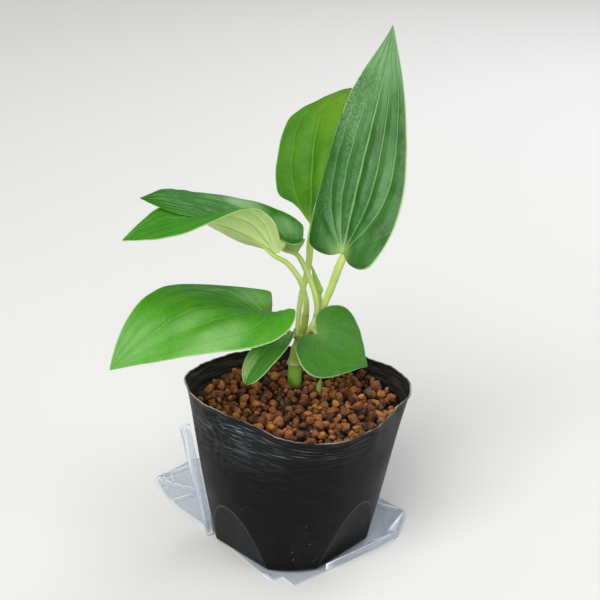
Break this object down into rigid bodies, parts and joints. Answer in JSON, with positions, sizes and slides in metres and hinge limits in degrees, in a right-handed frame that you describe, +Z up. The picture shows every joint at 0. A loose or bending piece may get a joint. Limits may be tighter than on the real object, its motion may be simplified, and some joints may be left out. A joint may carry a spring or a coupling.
{
  "type": "potted chinese lizards tail",
  "caption": "Young Chinese lizard's tail with heart-shaped leaves on long stalks, in a soft black nursery pot of clay grains standing on its folded clear bag.",
  "frame": {"origin": "on the surface that the pot stands on, under the middle of the pot's foot", "axes": "+Z up along the pot's axis, -Y to the front, where the pot's rim is pressed in at the left, +X to the tall leaf's side"},
  "size_m": [0.1173, 0.1276, 0.2031],
  "materials": {
    "clear_film": "clear polyethylene film, glossy and creased",
    "pot_plastic": "thin black polyethylene, satin and dusty",
    "clay_grains": "hard fired clay grains, matte and moist",
    "stem_tissue": "smooth green stem, satin",
    "leaf_tissue": "smooth green leaf, satin above and paler below"
  },
  "bodies": {
    "root": {"clear_bag": "clear_film", "nursery_pot": "pot_plastic", "grain_bed": "clay_grains", "main_stem": "stem_tissue", "rolled_young_leaf": "stem_tissue", "soil_sprout": "stem_tissue", "tall_leaf": "leaf_tissue", "back_leaf": "leaf_tissue", "upper_left_leaf": "leaf_tissue", "twisted_leaf": "leaf_tissue", "broad_leaf": "leaf_tissue", "heart_leaf": "leaf_tissue", "small_leaf": "leaf_tissue"}
  },
  "joints": []
}
